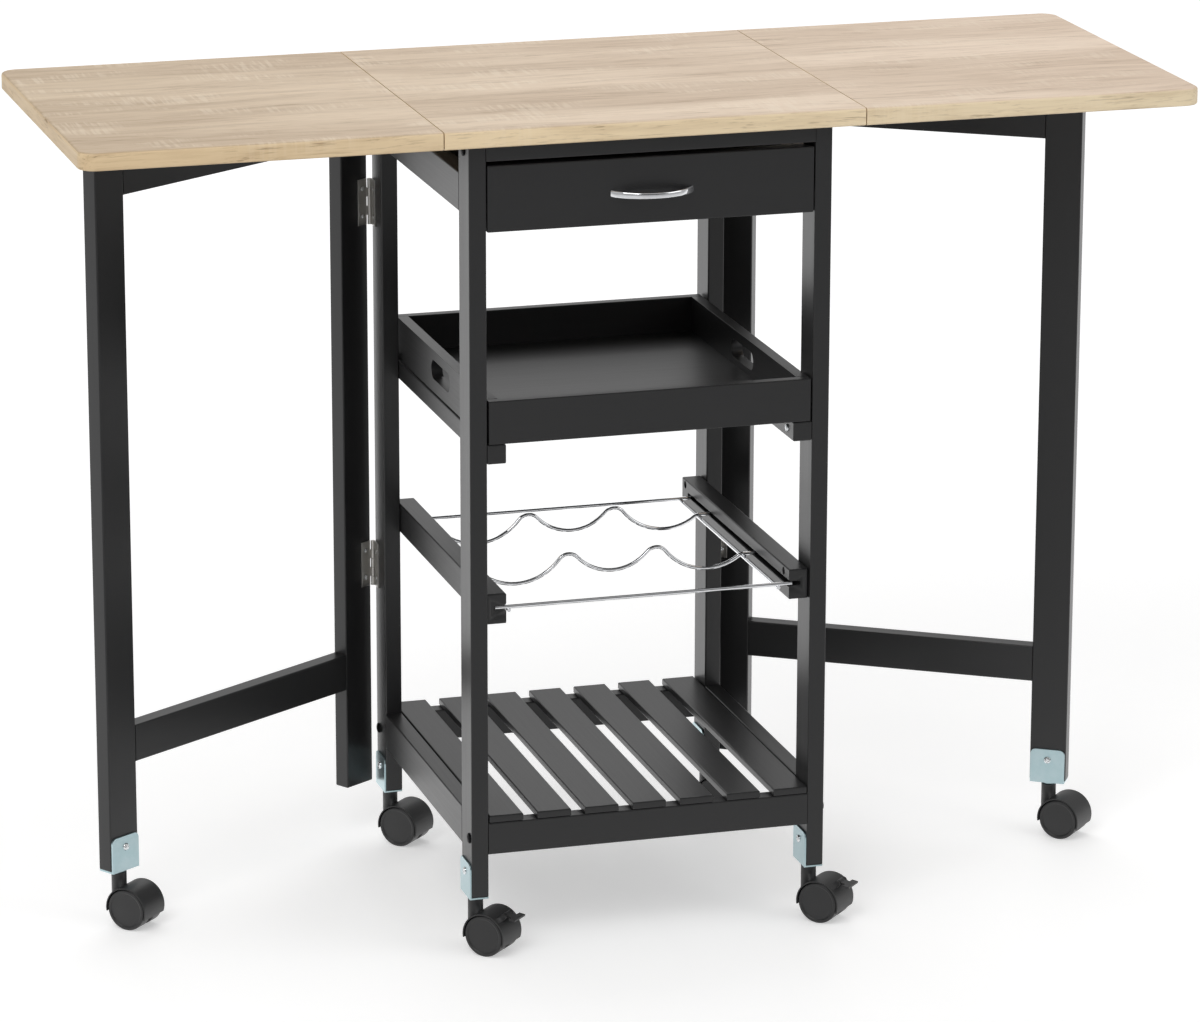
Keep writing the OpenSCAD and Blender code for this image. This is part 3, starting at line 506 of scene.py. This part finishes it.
bmesh.ops.edgeloop_fill(form, edges=last_ring)
for v in form.verts:
    slim = slimmest + (1 - slimmest) * min(1, (v.co.x / full_from) ** 2)
    v.co.z = bow_middle.z + (v.co.z - bow_middle.z) * slim
bmesh.ops.recalc_face_normals(form, faces=form.faces)
hang(form, "bow_handle", "drawer", chrome, ["drawer_handle"], sharp=50)

# %% [markdown]
# ## The wire rack
#
# The rack is bent from round chrome wire: a straight wire at the front and at the back, one along
# each side, and two wavy ones that hold the bottles. A wire is pulled like a real one: a ring of
# points runs straight, or bends about a centre with `spin`, and each move starts where the last
# one ended. Where two wires are welded, a small flat bead fills the crossing.

# %% Pull the wires
wire_r = 2.0 * mm
groove_z = 370.0 * mm
rack_mid = -4.0 * mm
tip = 158.5 * mm
side_x = 144.0 * mm
front_y, back_y = -190.0 * mm, 147.0 * mm
wave_y = (front_y + 115 * mm, front_y + 270 * mm)
wave_lift = 0.45 * mm
side_over, side_drop = 1.6 * mm, 3.6 * mm
bead_wide, bead_tall = 2.5 * mm, 1.5 * mm


def pull_wire(form, start, heading, moves):
    """Runs (length) or bends (angle about +Y, radius) one wire from its start."""
    turn = Vector(heading).to_track_quat("Z", "Y").to_matrix().to_4x4()
    ring = bmesh.ops.create_circle(
        form, cap_ends=True, radius=wire_r, segments=16, matrix=Matrix.Translation(start) @ turn)
    edges = list({e for v in ring["verts"] for e in v.link_edges})
    place, heading = Vector(start), Vector(heading)
    for move in moves:
        if len(move) == 1:
            grown = bmesh.ops.extrude_edge_only(form, edges=edges)["geom"]
            tips = [v for v in grown if isinstance(v, bmesh.types.BMVert)]
            bmesh.ops.translate(form, vec=heading * move[0], verts=tips)
            edges = [e for e in grown if isinstance(e, bmesh.types.BMEdge)
                     and all(v in tips for v in e.verts)]
            place = place + heading * move[0]
            continue
        angle, radius = move
        side = Vector((0, 1, 0)).cross(heading) * math.copysign(radius, angle)
        steps = max(3, round(abs(angle) / math.radians(6)))
        grown = bmesh.ops.spin(
            form, geom=edges, cent=place + side, axis=(0, 1, 0), angle=angle, steps=steps)
        edges = [e for e in grown["geom_last"] if isinstance(e, bmesh.types.BMEdge)]
        spun = Matrix.Rotation(angle, 3, "Y")
        place = place + side - spun @ side
        heading = spun @ heading
    bmesh.ops.edgeloop_fill(form, edges=edges)
    return place


def two_bends(run, rise):
    """Two arcs that bend opposite ways and meet: the sum of their radii, and their turn."""
    both = (run * run + rise * rise) / (2 * rise)
    return both, math.asin(run / both)


crest_r, crest_out, crest_up = 13.0, 47.5, 15
mid_dip, end_dip = 6, 12.5
end_trough_out, exit_run = 104, 39
mid_both, mid_turn = two_bends(crest_out, crest_up + mid_dip)
end_both, end_turn = two_bends(end_trough_out - crest_out, crest_up + end_dip)
exit_both, exit_turn = two_bends(exit_run, end_dip)
mid_r, end_r = mid_both - crest_r, end_both - crest_r
exit_r = exit_both - end_r
straight = tip - (end_trough_out + exit_run) * mm
half_wave = [
    (exit_turn, exit_r), (-exit_turn - end_turn, end_r), (end_turn + mid_turn, crest_r),
]
whole_wave = [*half_wave, (-2 * mid_turn, mid_r), *reversed(half_wave)]
wave = [(straight,), *((angle, radius * mm) for angle, radius in whole_wave), (straight,)]
form = bmesh.new()
for y in wave_y:
    end = pull_wire(form, (rack_mid - tip, y, groove_z + wave_lift), (1, 0, 0), wave)
for y in (front_y, back_y):
    pull_wire(form, (rack_mid - tip, y, groove_z), (1, 0, 0), [(2 * tip,)])
for x in (rack_mid - side_x, rack_mid + side_x):
    pull_wire(form, (x, front_y - side_over, groove_z - side_drop), (0, 1, 0),
              [(back_y - front_y + 2 * side_over,)])
for x in (rack_mid - side_x, rack_mid + side_x):
    for y in (front_y, back_y, *wave_y):
        spot = Matrix.Translation((x, y, groove_z - side_drop / 2))
        bmesh.ops.create_uvsphere(
            form, u_segments=14, v_segments=8, radius=1.0,
            matrix=spot @ Matrix.Diagonal((bead_wide, bead_wide, bead_tall, 1)))
bmesh.ops.recalc_face_normals(form, faces=form.faces)
print("wave ends", round((end.x - rack_mid - tip) / mm, 3), "mm from its tip")
hang(form, "rack_wires", "bottle_rack", chrome, ["wire_rack"], sharp=50)

# %% [markdown]
# ## Screw and bolt heads
#
# A head is only a few millimetres wide, but it catches the eye. Its dome is spun from a short
# outline. For the recess, planes first cut the dome along the sides of a cross or of a hexagon,
# and then the faces inside that shape are pushed down. One head of each kind is made here.

# %% Make the heads
def sunk_head(radius, height, planes, inside, depth):
    """A low dome on z = 0 with a recess, as a mesh that is copied later."""
    form = bmesh.new()
    outline = [(1.0, 0.0), (1.0, 0.35), (0.88, 0.75), (0.6, 0.95), (0.0, 1.0)]
    points = [form.verts.new((x * radius, 0, z * height)) for x, z in outline]
    line = [form.edges.new(pair) for pair in zip(points, points[1:])]
    bmesh.ops.spin(
        form, geom=points + line, cent=(0, 0, 0), axis=(0, 0, 1), angle=2 * math.pi, steps=24,
        use_merge=True)
    bmesh.ops.remove_doubles(form, verts=form.verts, dist=weld)
    for normal, distance in planes:
        bmesh.ops.bisect_plane(
            form, geom=form.verts[:] + form.edges[:] + form.faces[:],
            plane_co=Vector(normal) * distance, plane_no=normal)
    picked = [f for f in form.faces if inside(f.calc_center_median())]
    pushed = bmesh.ops.extrude_face_region(form, geom=picked)["geom"]
    bmesh.ops.translate(
        form, vec=(0, 0, -depth), verts=[v for v in pushed if isinstance(v, bmesh.types.BMVert)])
    bmesh.ops.edgeloop_fill(form, edges=[e for e in form.edges if e.is_boundary])
    bmesh.ops.recalc_face_normals(form, faces=form.faces)
    mesh = bpy.data.meshes.new("head")
    form.to_mesh(mesh)
    form.free()
    return mesh


def cross_head(radius, height, arm, half):
    """A head with a cross recess: the length of an arm, and half its width."""
    ways = [(1, 0, 0), (-1, 0, 0), (0, 1, 0), (0, -1, 0)]
    planes = [(way, d) for way in ways for d in (arm, half)]

    def inside(c):
        a, b = sorted((abs(c.x), abs(c.y)))
        return a < half and b < arm and c.z > height * 0.5

    return sunk_head(radius, height, planes, inside, height * 0.45)


def socket_head(radius, height, socket):
    """A head with a hexagon recess, by the distance from its middle to a side."""
    ways = [Vector((math.cos(k * math.pi / 3), math.sin(k * math.pi / 3), 0)) for k in range(6)]

    def inside(c):
        return c.z > height * 0.5 and all(c.dot(way) < socket for way in ways)

    return sunk_head(radius, height, [(way, socket) for way in ways], inside, height * 0.6)


pan_head = cross_head(4.0 * mm, 2.0 * mm, 2.6 * mm, 0.6 * mm)
flat_head = cross_head(2.5 * mm, 0.5 * mm, 1.5 * mm, 0.35 * mm)
bolt_head = socket_head(5.5 * mm, 2.2 * mm, 2.2 * mm)
print("heads of", [len(m.polygons) for m in (pan_head, flat_head, bolt_head)], "faces")

# %% [markdown]
# ## Where the heads go
#
# Copies of a head go to the places of the CAD model's screws and bolts, and look away from the
# wood. Most places come in pairs, left and right. Those of a gate are given on the closed gate
# and then swung open with it.

# %% Set the heads in their places
def heads_at(form, head, spots):
    """Adds copies of a head at each (place, way it faces), both in millimetres."""
    for place, way in spots:
        before = len(form.verts)
        form.from_mesh(head)
        form.verts.ensure_lookup_table()
        turn = Vector(way).to_track_quat("Z", "Y").to_matrix().to_4x4()
        bmesh.ops.transform(
            form, matrix=Matrix.Translation(Vector(place) * mm) @ turn, verts=form.verts[before:])


def both_ways(spots):
    """The same places on the left and on the right."""
    return [((s * x, y, z), (s * a, b, c)) for s in (1, -1) for (x, y, z), (a, b, c) in spots]


bolts = [((-190, y, z), (-1, 0, 0)) for y, z in (
    (-178, 843), (-189, 125), (189, 840), (189, 791), (189, 125))]
rail_pans = [((-152, y, 533), (1, 0, 0)) for y in (-178, 178)]
rail_pans += [((-159, y, 379), (1, 0, 0)) for y in (-174, 168)]
plate_pans = [((x, y, 86), (-1, 0, 0)) for x in (-192, 170) for y in (-178, 178)]
hinge_flats = [((-191.2, 189.2, z + up), (-1, 0, 0)) for z in (310, 710) for up in (-15, 15)]
top_flats = [((-201.6, y + out, 850.8), (0, 0, -1)) for y in (-120, 100) for out in (-18, 18)]

form = bmesh.new()
heads_at(form, bolt_head, both_ways(bolts))
hang(form, "frame_bolt_heads", "cart", black_oxide, ["cart_bolts"], sharp=40)
form = bmesh.new()
heads_at(form, pan_head, both_ways(rail_pans) + plate_pans)
heads_at(form, flat_head, both_ways(hinge_flats + top_flats))
hang(form, "cart_screw_heads", "cart", bright_zinc, ["cart_bolts"], sharp=40)

left_gate_hinge = Matrix.Translation((-192.5, 199, 0)) @ Matrix.Rotation(-gate_turn, 4, "Z")
gate_flats = [((-1.3, -9.8, z + up), (1, 0, 0)) for z in (310, 710) for up in (-15, 15)]
gate_pans = [((-0.5, -381, 86), (1, 0, 0))]


def on_gate(spots, sign):
    """Places on a closed gate, swung open with it; -1 mirrors them to the right one."""
    stand = Matrix.Diagonal((sign, 1, 1, 1)) @ left_gate_hinge
    return [(stand @ Vector(place), stand.to_3x3() @ Vector(way)) for place, way in spots]


for side, sign in (("left", 1), ("right", -1)):
    form = bmesh.new()
    heads_at(form, flat_head, on_gate(gate_flats, sign))
    heads_at(form, pan_head, on_gate(gate_pans, sign))
    hang(form, side + "_gate_screw_heads", "gate_" + side, bright_zinc,
         [side + "_gate_screws"], sharp=40)

# %% [markdown]
# ## Hinges and caster plates
#
# Both are pressed from sheet. A pressed edge is not sharp either, so each plate gets a hairline
# bevel, which glints where the lamp meets it.

# %% Dress the hinges and the plates
for name, body in {
    "leaf_hinge_plates": "cart", "left_leaf_flaps": "leaf_left", "right_leaf_flaps": "leaf_right",
    "gate_hinge_fixed_leaves": "cart", "left_gate_hinge_leaves": "gate_left",
    "right_gate_hinge_leaves": "gate_right",
}.items():
    soften([name], name + "_dressed", body, hinge_steel, 0.25, 8, 2)
for name, body in {
    "cart_caster_brackets": "cart", "left_gate_bracket": "gate_left",
    "right_gate_bracket": "gate_right",
}.items():
    soften([name], name + "_dressed", body, zinc, 0.4, 0.6, 2)

# %% [markdown]
# ## Casters
#
# Each caster has a moulded hood that leaves the lower part of two wheels free. The hood comes
# from its CAD solid, with every rim rounded as a moulding is. The brake pedals are treated alike.

# %% Dress the hoods and the pedals
wheel_r, trail, caster_turn = 22.0 * mm, 19.5 * mm, math.pi / 4
casters = {
    "front_left": (-181, -178), "front_right": (181, -178), "rear_left": (-181, 178),
    "rear_right": (181, 178), "left_gate": (-518.297, 1.137), "right_gate": (518.297, 1.137),
}
for caster in casters:
    soften([caster + "_hood"], caster + "_hood_dressed", "caster_" + caster, hood_plastic,
           0.5, 0.9, 2)
for side in ("left", "right"):
    soften([f"front_{side}_pedal"], f"front_{side}_pedal_dressed", f"pedal_front_{side}",
           hood_plastic, 0.5, 1.5, 2)

# %% [markdown]
# ## Wheels
#
# A wheel is one outline spun about the axle: tread, rounded shoulder, a fine lip, and a disc that
# sinks a little and swells again towards its middle. It is spun upright at the origin, laid on
# its axle, and then turned with its caster. The outline is in millimetres: radius, then how far
# out along the axle.

# %% Spin the wheels
wheel_outline = [
    (0.0, 3.25), (20.5, 3.25), (21.5, 3.6), (22.0, 4.6), (22.0, 16.9), (21.8, 17.7), (21.3, 18.25),
    (20.5, 18.5), (19.3, 18.5), (18.7, 18.35), (18.3, 17.9), (17.8, 17.55), (16.9, 17.45),
    (12.0, 17.6), (6.0, 17.8), (0.0, 17.85),
]
for caster, (x, y) in casters.items():
    for letter, side in (("a", 1), ("b", -1)):
        form = bmesh.new()
        points = [form.verts.new((r * mm, 0, z * mm)) for r, z in wheel_outline]
        line = [form.edges.new(pair) for pair in zip(points, points[1:])]
        bmesh.ops.spin(
            form, geom=points + line, cent=(0, 0, 0), axis=(0, 0, 1), angle=2 * math.pi,
            steps=72, use_merge=True)
        bmesh.ops.remove_doubles(form, verts=form.verts, dist=weld)
        stand = (
            Matrix.Translation((x * mm, y * mm, 0)) @ Matrix.Rotation(-caster_turn, 4, "Z")
            @ Matrix.Translation((trail, 0, wheel_r))
            @ Matrix.Rotation(-quarter * side, 4, "X"))
        bmesh.ops.transform(form, matrix=stand, verts=form.verts)
        bmesh.ops.recalc_face_normals(form, faces=form.faces)
        node = f"{caster}_wheel_{letter}"
        hang(form, node + "_spun", f"wheel_{caster}_{letter}", disc_plastic,
             [node], sharp=50)

# %% [markdown]
# ## Parts that stay as the CAD model made them
#
# Thin panels in grooves and small hidden screws need no softening. Their CAD nodes stay in view
# and only get a finish.

# %% Give the plain CAD nodes their finishes
finish_of = {
    paint_x: ["drawer_bottom", "tray_base"],
    zinc: ["left_leaf_screws", "right_leaf_screws"],
}
for finish, names in finish_of.items():
    for name in names:
        nodes[name].data.materials.clear()
        nodes[name].data.materials.append(finish)
print(sum(map(len, finish_of.values())), "CAD nodes with a finish of their own")

# %% [markdown]
# ## The floor
#
# The island stands in a white, evenly lit space. The floor is a wide disc that catches a soft
# shadow. It glows a little where the camera looks at it, which Light Path tells, and more so
# further away, so that it turns to white. Behind the island it also glows for what chrome and
# paint mirror.

# %% Make the floor
floor_form = bmesh.new()
bmesh.ops.create_circle(floor_form, cap_ends=True, radius=40.0, segments=96)
floor_mesh = bpy.data.meshes.new("floor")
floor_form.to_mesh(floor_mesh)
floor_form.free()
floor = new_object("floor", floor_mesh)
floor_finish, floor_shader, floor_start = new_finish("white_floor", Roughness=0.9)
floor_place = floor_start.node("TexCoord", result="Object")
dust = stretched(floor_start, floor_place, (3, 3, 3))
floor_tone = 0.80 + dust * 0.02
floor_start.fill(
    floor_shader.inputs["Base Color"],
    floor_start.node("CombineColor", values=(floor_tone, floor_tone, floor_tone)))
seen = floor_start.node("LightPath", result="Is Camera Ray")
mirrored = floor_start.node("LightPath", result="Is Glossy Ray")
away = floor_start.node("VectorMath", {"operation": "LENGTH"}, (floor_place,), result="Value")
behind = floor_start.node("SeparateXYZ", values=(floor_place,), result="Y").between(-1.2, 0.6)
strength = seen * (0.38 + away.between(1.0, 6.0) * 0.25) + mirrored * behind * 0.76
glow = floor_start.node("Emission", Strength=strength)
lit = Shade(floor_finish.node_tree, floor_shader.outputs[0])
floor_out = floor_finish.node_tree.nodes["Material Output"]
floor_start.fill(floor_out.inputs["Surface"], floor_start.node("AddShader", values=(lit, glow)))
floor_mesh.materials.append(floor_finish)
print("floor of", len(floor_mesh.polygons), "face")

# %% [markdown]
# ## World and lamps
#
# The world is white where the camera looks, and lights everything else more gently. A
# photographer's room is darker behind the camera, and chrome and satin paint need that dark side,
# so what they mirror there is dimmer. Three soft lamps do the rest: a main one from the left, a
# weaker one from the right, and one from behind that draws the edges.

# %% Light the world
world = bpy.data.worlds.new("white_room")
world.use_nodes = True
bpy.context.scene.world = world
sky = world.node_tree.nodes["Background"]
sky.inputs["Color"].default_value = (1, 1, 1, 1)
world_start = Shade(world.node_tree)
looked, through, glossy = [world_start.node("LightPath", result=f"Is {kind} Ray") for kind in (
    "Camera", "Transmission", "Glossy")]
direct = world_start.node("Clamp", values=(looked + through, 0.0, 1.0))
aim = world_start.node("TexCoord", result="Generated")
ahead = world_start.node("SeparateXYZ", values=(aim,), result="Y")
front = (ahead * -1.0).between(0.3, 0.9)
world_start.fill(sky.inputs["Strength"], 0.55 + direct * 0.45 - glossy * front * 0.40)
bpy.context.scene.view_settings.view_transform = "Standard"
print("world", world.name, "is white where the camera looks")


def lamp(name, place, aim, size, power):
    """A soft square lamp at a place, turned towards an aim."""
    light = bpy.data.lights.new(name, "AREA")
    light.size = size
    light.energy = power
    holder = new_object(name, light)
    turn = (Vector(place) - Vector(aim)).to_track_quat("Z", "Y").to_matrix().to_4x4()
    holder.matrix_world = Matrix.Translation(place) @ turn
    print(f"{name}: {power} W, {size} m wide")


lamp("key_lamp", (-2.2, -2.6, 3.4), (0, 0, 0.5), 2.4, 60)
lamp("fill_lamp", (2.8, -2.0, 2.4), (0, 0, 0.5), 2.2, 20)
lamp("back_lamp", (0.4, 2.8, 3.0), (0, 0, 0.6), 2.4, 25)
